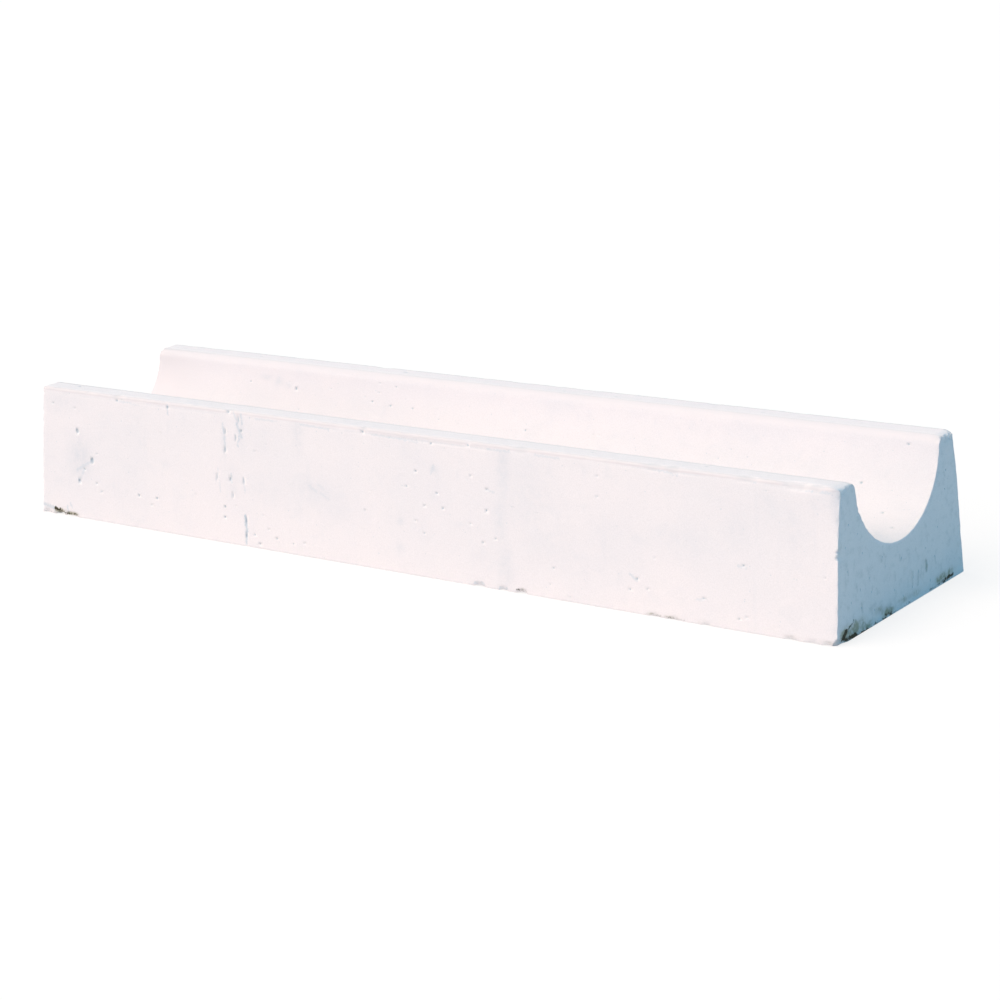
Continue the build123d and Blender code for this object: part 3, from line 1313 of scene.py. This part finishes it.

# %% [markdown]
# ## The concrete
#
# Pale concrete is never one colour. The material starts from two near whites that drift into each
# other over a hand's width, lightens the wall tops and the channel's bottom with painted light, adds
# greyer clouds and soft streaks down the sides, then grains of sand and tiny pores in painted shade,
# and last what the mesh says: painted shade in the holes, on the arrises and towards the channel's
# far end, raw where the edge broke, grey under a smudge and brown-black in the dirt. All of it is
# read in object coordinates, so the pattern stays on the concrete from every side. Written out node
# by node this would be long, so a small class with short names adds the nodes and joins them.

# %% A short way to write materials


class Nodes:
    """Adds nodes to one material or group and joins them, so that it reads from top to bottom."""

    def __init__(self, owner):
        if isinstance(owner, bpy.types.NodeTree):
            self.tree = owner
        else:
            owner.use_nodes = True
            self.tree = owner.node_tree
        self.tree.nodes.clear()

    def put(self, kind, inputs=None, **settings):
        """Adds a node; inputs that are sockets are linked, and plain values are set."""
        node = self.tree.nodes.new(kind)
        for key, value in settings.items():
            setattr(node, key, value)
        for key, value in (inputs or {}).items():
            if isinstance(value, bpy.types.NodeSocket):
                self.tree.links.new(value, node.inputs[key])
            else:
                node.inputs[key].default_value = value
        return node

    def math(self, operation, first, second):
        """One sum on two values."""
        return self.put("ShaderNodeMath", {0: first, 1: second}, operation=operation).outputs[0]

    def times(self, first, *others):
        """The product of two or more values."""
        for other in others:
            first = self.math("MULTIPLY", first, other)
        return first

    def ramp(self, value, start, end, low=0.0, high=1.0):
        """Low before start, high after end, and a smooth curve between."""
        return self.put(
            "ShaderNodeMapRange",
            {"Value": value, "From Min": start, "From Max": end, "To Min": low, "To Max": high},
            interpolation_type="SMOOTHSTEP",
        ).outputs["Result"]

    def noise(self, place, scale, detail=4.0, roughness=0.55, distortion=0.0):
        """Cloudy noise from zero to one, with about scale clouds to the metre."""
        return self.put(
            "ShaderNodeTexNoise",
            {"Vector": place, "Scale": scale, "Detail": detail, "Roughness": roughness,
             "Distortion": distortion},
        ).outputs["Fac"]

    def stretched(self, place, scale):
        """Places stretched by a different amount along each axis."""
        return self.put("ShaderNodeMapping", {"Vector": place, "Scale": scale}).outputs["Vector"]

    def blend(self, share, first, second, mode="MIX"):
        """One colour over another, by a share."""
        node = self.put("ShaderNodeMix", data_type="RGBA", blend_type=mode)
        for socket, value in ((0, share), (6, first), (7, second)):
            if isinstance(value, bpy.types.NodeSocket):
                self.tree.links.new(value, node.inputs[socket])
            else:
                node.inputs[socket].default_value = value
        return node.outputs[2]

    def over(self, colour, top, *shares):
        """The colour with another laid over it, by the product of the shares."""
        return self.blend(self.times(*shares), colour, top)

    def painted(self, name):
        """The value that the mesh carries under a name."""
        return self.put("ShaderNodeAttribute", attribute_name=name).outputs["Fac"]

    def vector(self, operation, inputs, output="Vector"):
        """A sum on vectors, whose result is a vector or, where the output is Value, a number."""
        return self.put("ShaderNodeVectorMath", inputs, operation=operation).outputs[output]


# %% [markdown]
# Some marks on the front side and the square end are thinner than the mesh's cells: scratches,
# cracks, stains, and the trails that rising bubbles left. Each is a few short strokes. A stroke is
# worked out from the distance to a straight line between two places, and a little noise in the
# place makes its edges ragged.

# %% List the thin strokes
# Each stroke: the pixels of its two ends, its width in millimetres and its strength
front_strokes_px = [
    (245.0, 516, 246.0, 524, 3.6, 0.85), (246.0, 524, 247.2, 531, 4.2, 0.95),
    (247.0, 530, 246.4, 543, 3.6, 0.85),
    (222.2, 424, 223.6, 433, 2.2, 0.40), (224.0, 437, 225.3, 450, 2.4, 0.50),
    (232.5, 412, 236.5, 420, 2.0, 0.40), (236.5, 424, 241.5, 437, 2.6, 0.55),
    (240.5, 414, 241.5, 424, 2.0, 0.50), (239.5, 433, 237.5, 446, 2.4, 0.55),
    (217.5, 468, 220.6, 492, 1.8, 0.28), (243.5, 478, 245.0, 493, 1.8, 0.28),
    (231.0, 474, 231.6, 482, 2.4, 0.55), (166.8, 405, 167.5, 414, 2.4, 0.50),
    (116.0, 401, 130.0, 403, 2.0, 0.30), (131.0, 404, 139.0, 406, 1.6, 0.22),
    (77.0, 470, 90.0, 462, 4.0, 0.35), (79.0, 481, 84.0, 470, 3.0, 0.30),
    (309.0, 486, 316.0, 491, 3.4, 0.20), (320.0, 493, 328.0, 499, 3.0, 0.18),
    (317.0, 484, 323.0, 489, 2.6, 0.16), (433.0, 466, 431.0, 473, 3.6, 0.26),
    (652.0, 469.5, 664.0, 471.5, 2.2, 0.35), (664.0, 472, 677.0, 475, 2.4, 0.42),
    (738.0, 478, 755.0, 482, 2.4, 0.40), (805.0, 490.5, 830.0, 493.5, 2.4, 0.45),
    (372.0, 435, 396.0, 438.5, 1.8, 0.30), (396.0, 438.5, 417.0, 442, 2.0, 0.35),
    (300.0, 424.5, 328.0, 429.5, 2.0, 0.35), (255.0, 419, 276.0, 421.5, 1.8, 0.28),
    (487.0, 449, 509.0, 452, 1.8, 0.30), (534.0, 455, 559.0, 458.5, 1.8, 0.28),
    (487.0, 490, 494.0, 492.5, 2.0, 0.30), (738.0, 566, 746.0, 568, 2.4, 0.32),
    (630.0, 574, 637.0, 581, 2.4, 0.45), (696.0, 600, 706.0, 599, 2.0, 0.28),
    (44.0, 504, 57.0, 508.5, 5.0, 0.60), (67.0, 506, 68.5, 511, 2.4, 0.60),
    (70.5, 503, 72, 507, 2.0, 0.45),
    (475.5, 583, 483.0, 584, 3.4, 0.85), (500.5, 588, 506.5, 589.5, 3.4, 0.85),
    # Painted shade: a dark tick for the shaded side of the small nick in the front edge
    (836.3, 557.4, 840.5, 555.6, 1.6, 0.95),
]
foot_dirt_strokes_px = [
    (56, 508, 61, 511, 5.0, 1.0), (62, 512, 77, 515, 1.8, 0.65), (517, 590, 526, 592, 3.0, 0.6),
    (652, 614.5, 662, 616, 2.0, 0.45), (664, 617, 684, 620.5, 1.8, 0.3),
]
end_dirt_strokes_px = [
    (843.5, 640, 847, 631, 6.5, 1.0), (846, 640, 857, 635, 6.0, 0.9), (857, 636, 867, 630, 3.2, 0.7),
    (847, 632, 854, 621, 2.6, 0.6), (866, 630, 893, 613.5, 2.0, 0.45), (886, 615.5, 892, 612, 3.6, 0.5),
    (893, 613, 912, 601, 2.0, 0.3), (942, 582, 953, 574, 5.0, 0.75), (930, 590, 942, 582, 2.0, 0.4),
]
end_stain_strokes_px = [
    (926.5, 561, 927, 570, 5.0, 0.85), (919, 571, 918.5, 584, 3.0, 0.45), (913, 572, 913, 588, 2.6, 0.40),
    (922, 566, 921, 577, 2.4, 0.25), (880, 611, 891, 606, 7.0, 0.40), (862, 604, 863, 612, 3.0, 0.40),
    (877, 588, 878, 594, 3.0, 0.30), (881, 556, 882, 561, 3.0, 0.40), (900, 555, 901, 561, 3.0, 0.40),
    (884, 554, 886, 557, 3.0, 0.35), (870, 610, 876, 604, 5.0, 0.30), (905, 600, 914, 594, 5.0, 0.35),
    (944, 472, 945, 476, 2.6, 0.40), (848, 570, 849, 576, 2.6, 0.30), (857, 585, 858, 592, 2.6, 0.30),
    (935, 556, 936, 563, 2.6, 0.30), (895, 572, 896, 580, 2.4, 0.25), (868, 568, 869, 574, 2.4, 0.25),
]

# %% Draw a stroke
stroke_shake = 4.8 * mm
stroke_shake_scale = 420.0
stroke_soft_edge = 1.0 * mm


def stroke_group():
    """A node group that draws one stroke, from zero to its strength.

    The nearest point of the line lies at the share of the way given by the dot product of the
    place from its start with its run, over the run's squared length, held between zero and one.
    """
    group = bpy.data.node_groups.new("stroke", "ShaderNodeTree")
    for name, kind in (("Place", "NodeSocketVector"), ("Start", "NodeSocketVector"),
                       ("Run", "NodeSocketVector"), ("Half width", "NodeSocketFloat"),
                       ("Strength", "NodeSocketFloat")):
        group.interface.new_socket(name, in_out="INPUT", socket_type=kind)
    group.interface.new_socket("Share", in_out="OUTPUT", socket_type="NodeSocketFloat")
    n = Nodes(group)
    given = n.put("NodeGroupInput").outputs
    from_start = n.vector("SUBTRACT", {0: given["Place"], 1: given["Start"]})
    squared_length = n.vector("DOT_PRODUCT", {0: given["Run"], 1: given["Run"]}, "Value")
    towards_end = n.vector("DOT_PRODUCT", {0: from_start, 1: given["Run"]}, "Value")
    along = n.math("DIVIDE", towards_end, squared_length)
    along = n.put("ShaderNodeClamp", {"Value": along}).outputs[0]
    nearest = n.vector("SCALE", {0: given["Run"], "Scale": along})
    gap = n.vector("DISTANCE", {0: from_start, 1: nearest}, "Value")
    near = n.ramp(gap, 0.0, given["Half width"], 1.0, 0.0)
    n.put("NodeGroupOutput", {"Share": n.times(near, given["Strength"])})
    return group


group = stroke_group()


def drawn_strokes(n, place, strokes, follow):
    """The strongest of the strokes at each place, from zero to one; follow places the pixels."""
    shake = n.put("ShaderNodeTexNoise", {"Vector": place, "Scale": stroke_shake_scale, "Detail": 3.0})
    shake = n.vector("SUBTRACT", {0: shake.outputs["Color"], 1: (0.5,) * 3})
    shake = n.vector("MULTIPLY", {0: shake, 1: (stroke_shake,) * 3})
    shaken = n.vector("ADD", {0: place, 1: shake})
    starts = follow([stroke[:2] for stroke in strokes])
    ends = follow([stroke[2:4] for stroke in strokes])
    strongest = 0.0
    for stroke, start, end in zip(strokes, starts, ends):
        drawn = n.put(
            "ShaderNodeGroup",
            {"Place": shaken, "Start": tuple(start), "Run": tuple(end - start),
             "Half width": stroke[4] * mm / 2 + stroke_soft_edge, "Strength": stroke[5]},
            node_tree=group,
        )
        strongest = n.math("MAXIMUM", drawn.outputs["Share"], strongest)
    return strongest


# %% [markdown]
# The colours are matched to the photograph, one for each thing that a spot of the skin can be, and
# for its painted light and painted shade. The skin is mixed first: its two whites, the painted light
# on the wall tops and the channel's bottom, its clouds and its streaks.

# %% Mix the skin and its painted light
pale_pink_white = (0.860, 0.800, 0.798, 1)
pale_cool_white = (0.835, 0.786, 0.790, 1)
cloud_grey = (0.640, 0.655, 0.690, 1)
stroke_grey = (0.520, 0.590, 0.650, 1)
stain_grey = (0.490, 0.490, 0.485, 1)
# Painted shade for the arrises, the rolled edges and the channel's far end
arris_painted_shade = (0.762, 0.702, 0.704, 1)
# Painted light for the wall tops and the channel's bottom
painted_light_white = (0.925, 0.850, 0.850, 1)
# Painted shade for the bug holes and the pores
hole_shade = (0.470, 0.560, 0.610, 1)
raw_break = (0.690, 0.660, 0.668, 1)
dirt_halo = (0.300, 0.280, 0.175, 1)
dirt_brown = (0.055, 0.050, 0.032, 1)
cloud_share = 0.16
streak_share = 0.10
streak_stretch = (95.0, 95.0, 5.0)
# Each noise: about how many clouds it has to the metre, its detail, its roughness and, where it
# has one, its distortion
drift_noise = (11.0, 3.0)
cloud_noise = (38.0, 6.0, 0.62, 0.6)
streak_noise = (1.0, 4.0, 0.6)
# Each pair of limits: the value at which a mark starts, and the one at which it's full
drift_limits = (0.35, 0.65)
cloud_limits = (0.50, 0.78)
streak_limits = (0.60, 0.80)


def skin_with_painted_light(n, place):
    """Two whites that drift into each other, a paler one where the mesh asks for painted light, then
    clouds and streaks: noise that is stretched until it's many times as tall as it is wide."""
    drift = n.ramp(n.noise(place, *drift_noise), *drift_limits)
    colour = n.blend(drift, pale_pink_white, pale_cool_white)
    # Painted light on the wall tops and the channel's bottom
    colour = n.over(colour, painted_light_white, n.painted("painted_light"))
    clouds = n.ramp(n.noise(place, *cloud_noise), *cloud_limits)
    colour = n.over(colour, cloud_grey, clouds, cloud_share)
    streaks = n.ramp(n.noise(n.stretched(place, streak_stretch), *streak_noise), *streak_limits)
    return n.over(colour, cloud_grey, streaks, streak_share)


# %% [markdown]
# The ends are stained in spots, with drips below the channel. Then come the sand and the pores. A
# pore is a cell of a Voronoi pattern: near the cell's middle it sinks in the bump and gets painted
# shade, and a noise sets its size.

# %% Stain the ends, and add sand and pores
end_spot_share = 0.27
end_spot_noise = (120.0, 5.0, 0.6)
end_spot_limits = (0.48, 0.72)
end_drip_share = 0.08
drip_stretch = (110.0, 110.0, 34.0)
drip_noise = (1.0, 2.0, 0.5)
drip_limits = (0.46, 0.80)
drips_from_height = 85 * mm
drips_full_height = 45 * mm
sand_noise = (900.0, 2.0, 0.7)
sand_limits = (0.25, 0.75)
sand_shades = (0.955, 1.03)
pore_cells = 210.0
pore_size_noise = (130.0, 1.0)
pore_size_limits = (0.50, 0.72)
pore_sizes = (0.02, 0.20)
pore_middle_share = 0.5
pore_shade_share = 0.35


def stained_ends(n, place, colour):
    """Spots of stain on the ends, and drips that grow towards the base."""
    on_end = n.painted("on_end")
    spots = n.ramp(n.noise(place, *end_spot_noise), *end_spot_limits)
    colour = n.over(colour, stain_grey, spots, on_end, end_spot_share)
    drips = n.ramp(n.noise(n.stretched(place, drip_stretch), *drip_noise), *drip_limits)
    z = n.put("ShaderNodeSeparateXYZ", {0: place}).outputs["Z"]
    below = n.ramp(z, drips_from_height, drips_full_height)
    return n.over(colour, stain_grey, drips, below, on_end, end_drip_share)


def sand_grains(n, place, colour):
    """The colour times the shade of each grain, and the grains as a value."""
    sand = n.noise(place, *sand_noise)
    shade = n.ramp(sand, *sand_limits, *sand_shades)
    grey = n.put("ShaderNodeCombineColor", {"Red": shade, "Green": shade, "Blue": shade})
    return n.blend(1.0, colour, grey.outputs["Color"], "MULTIPLY"), sand


def tiny_pores(n, place):
    """One in a pore's middle half, falling to zero at its size from the middle of its cell."""
    cells = n.put("ShaderNodeTexVoronoi", {"Vector": place, "Scale": pore_cells, "Randomness": 1.0})
    size = n.ramp(n.noise(place, *pore_size_noise), *pore_size_limits, *pore_sizes)
    pore = n.put(
        "ShaderNodeMapRange",
        {"Value": cells.outputs["Distance"], "From Min": size,
         "From Max": n.times(size, pore_middle_share), "To Min": 0.0, "To Max": 1.0},
    )
    return pore.outputs["Result"]


# %% [markdown]
# Then the marks, each over the one before: smudges, rubbed through by a noise, painted shade on the
# arrises, the rolled edges and the channel's far end, strokes, breaks, and painted shade in the
# holes. The dirt comes last, a soft halo first and the dark strokes over it.

# %% Mark the skin and dirty it
rub_noise = (170.0, 5.0, 0.7)
rub_limits = (0.30, 0.62)
rub_shares = (0.35, 1.0)
broken_share = 0.65
hole_shade_share = 0.62
hole_limits = (0.02, 0.75)
grime_noise = (130.0, 4.0, 0.65)
grime_limits = (0.36, 0.66)
least_grime = 0.65
halo_share = 0.8
halo_limits = (0.05, 0.85)
dark_dirt_limits = (0.12, 0.70)


def marked(n, place, colour):
    """The colour under each kind of mark and under the painted shade, one after another."""
    rub = n.ramp(n.noise(place, *rub_noise), *rub_limits, *rub_shares)
    colour = n.over(colour, cloud_grey, n.painted("smudge"), rub)
    # Painted shade on the arrises, the rolled edges and the channel's far end
    colour = n.over(colour, arris_painted_shade, n.painted("painted_shade"))
    colour = n.over(colour, stroke_grey, drawn_strokes(n, place, front_strokes_px, on_front_side))
    colour = n.over(colour, stain_grey, drawn_strokes(n, place, end_stain_strokes_px, on_square_end))
    colour = n.over(colour, raw_break, n.painted("broken"), broken_share)
    # Painted shade in the bug holes
    return n.over(colour, hole_shade, n.ramp(n.painted("hollow"), *hole_limits, 0.0, hole_shade_share))


def dirtied(n, place, colour):
    """The colour under the dirt, whose halo and strokes a noise breaks up."""
    grime = n.math("ADD", n.ramp(n.noise(place, *grime_noise), *grime_limits), least_grime)
    halo = n.ramp(n.times(n.painted("dirt"), grime), *halo_limits, 0.0, halo_share)
    foot_dirt = drawn_strokes(n, place, foot_dirt_strokes_px, on_front_side)
    end_dirt = drawn_strokes(n, place, end_dirt_strokes_px, on_square_end)
    dark = n.ramp(n.times(n.math("MAXIMUM", foot_dirt, end_dirt), grime), *dark_dirt_limits)
    return n.over(n.over(colour, dirt_halo, halo), dirt_brown, dark)


# %% [markdown]
# The finest relief is a bump: lumps, sand and pores, a fraction of a millimetre high. Concrete is
# matt, so the shader is rough and reflects little.

# %% Put the concrete together
lump_noise = (120.0, 5.0, 0.6)
lump_height_share = 0.6
sand_height_share = 0.25
pore_depth_share = 0.35
bump_strength = 0.35
bump_distance = 0.6 * mm
roughness_noise = (60.0, 4.0)
roughness_limits = (0.3, 0.7)
roughness_range = (0.80, 0.95)
reflection = 0.25


def finest_relief(n, place, sand, pores):
    """A bump whose height is a sum of shares of the lumps and the sand, less a share of the pores."""
    lumps = n.noise(place, *lump_noise)
    bumpy = n.math("ADD", n.times(lumps, lump_height_share), n.times(sand, sand_height_share))
    bumpy = n.math("SUBTRACT", bumpy, n.times(pores, pore_depth_share))
    bump = n.put(
        "ShaderNodeBump", {"Height": bumpy, "Strength": bump_strength, "Distance": bump_distance})
    return bump.outputs["Normal"]


def concrete_material():
    """Pale cast concrete with clouds, streaks, sand, pores, holes, breaks, dirt, and painted light and
    painted shade.
    """
    material = bpy.data.materials.new("cast_concrete")
    n = Nodes(material)
    place = n.put("ShaderNodeTexCoord").outputs["Object"]
    colour = stained_ends(n, place, skin_with_painted_light(n, place))
    colour, sand = sand_grains(n, place, colour)
    pores = tiny_pores(n, place)
    # Painted shade in the tiny pores
    colour = n.over(colour, hole_shade, pores, pore_shade_share)
    colour = dirtied(n, place, marked(n, place, colour))
    roughness = n.ramp(n.noise(place, *roughness_noise), *roughness_limits, *roughness_range)
    shader = n.put(
        "ShaderNodeBsdfPrincipled",
        {"Base Color": colour, "Roughness": roughness, "Specular IOR Level": reflection,
         "Normal": finest_relief(n, place, sand, pores)},
    )
    n.put("ShaderNodeOutputMaterial", {"Surface": shader.outputs["BSDF"]})
    return material


cast_channel.data.materials.append(concrete_material())
print("nodes in the concrete:", len(cast_channel.active_material.node_tree.nodes))

# %% [markdown]
# ## The studio
#
# The photograph shows the unit in sun from the left and above, in front of pure white. Two soft
# lamps stand in for the sun: one high, which fills the channel, and a low one that brightens the
# front side. The square end lies in their shade. It gets the blue of the sky, and a third, weaker
# lamp of nearly that blue from its own side. The floor is a mid grey to the light that it throws back
# and white to the camera, but it still takes the shadow.

# %% Light the unit
# Each lamp: its name, the direction that its light comes from, its colour, its strength and its
# width as an angle in degrees
lamps = [
    ("high_sun", (-0.34, -0.40, 1.00), (1.0, 0.782, 0.605), 2.37, 60),
    ("low_sun", (-0.50, -0.90, 0.22), (1.0, 0.832, 0.785), 2.07, 50),
    ("shade_fill", (1.0, -0.05, 0.10), (0.196, 0.597, 1.0), 0.51, 30),
]
sky_colour = (0.24, 0.70, 1.0, 1)
sky_strength = 0.50


def add_sun(name, towards, colour, strength, width):
    """A sun lamp whose light comes from the given direction, softened by its width."""
    data = bpy.data.lights.new(name, "SUN")
    data.energy = strength
    data.color = colour
    data.angle = math.radians(width)
    lamp = bpy.data.objects.new(name, data)
    lamp.rotation_euler = mathutils.Vector(towards).to_track_quat("Z", "Y").to_euler()
    bpy.context.scene.collection.objects.link(lamp)


for lamp in lamps:
    add_sun(*lamp)

# %% The sky and the floor
floor_half_side = 30.0
floor_grey = (0.55, 0.55, 0.55, 1)
seen_floor_grey = (0.24, 0.24, 0.24, 1)
seen_floor_glow = (0.80, 0.78, 0.77, 1)


def seen_directly(n):
    """One for what the camera, a reflection or a pane of glass sees, and zero for other light."""
    path = n.put("ShaderNodeLightPath")
    seen = n.math("MAXIMUM", path.outputs["Is Camera Ray"], path.outputs["Is Glossy Ray"])
    return n.math("MAXIMUM", seen, path.outputs["Is Transmission Ray"])


world = bpy.data.worlds.new("studio")
bpy.context.scene.world = world
n = Nodes(world)
sky = n.put("ShaderNodeBackground", {"Color": sky_colour, "Strength": sky_strength})
backdrop = n.put("ShaderNodeBackground", {"Color": (1, 1, 1, 1), "Strength": 1.0})
shown = n.put("ShaderNodeMixShader", {0: seen_directly(n), 1: sky.outputs[0], 2: backdrop.outputs[0]})
n.put("ShaderNodeOutputWorld", {"Surface": shown.outputs[0]})

floor_material = bpy.data.materials.new("studio_floor")
n = Nodes(floor_material)
seen = seen_directly(n)
matt = n.put("ShaderNodeBsdfDiffuse", {"Color": n.blend(seen, floor_grey, seen_floor_grey)})
glow = n.put("ShaderNodeEmission", {"Color": seen_floor_glow, "Strength": seen})
floor_sum = n.put("ShaderNodeAddShader", {0: matt.outputs[0], 1: glow.outputs[0]})
n.put("ShaderNodeOutputMaterial", {"Surface": floor_sum.outputs[0]})

corners = floor_half_side * np.array([(-1, -1, 0), (1, -1, 0), (1, 1, 0), (-1, 1, 0)])
floor_mesh = bpy.data.meshes.new("studio_floor")
floor_mesh.from_pydata(corners.tolist(), [], [(0, 1, 2, 3)])
floor_mesh.materials.append(floor_material)
floor = bpy.data.objects.new("studio_floor", floor_mesh)
bpy.context.scene.collection.objects.link(floor)

bpy.context.scene.view_settings.view_transform = "Standard"
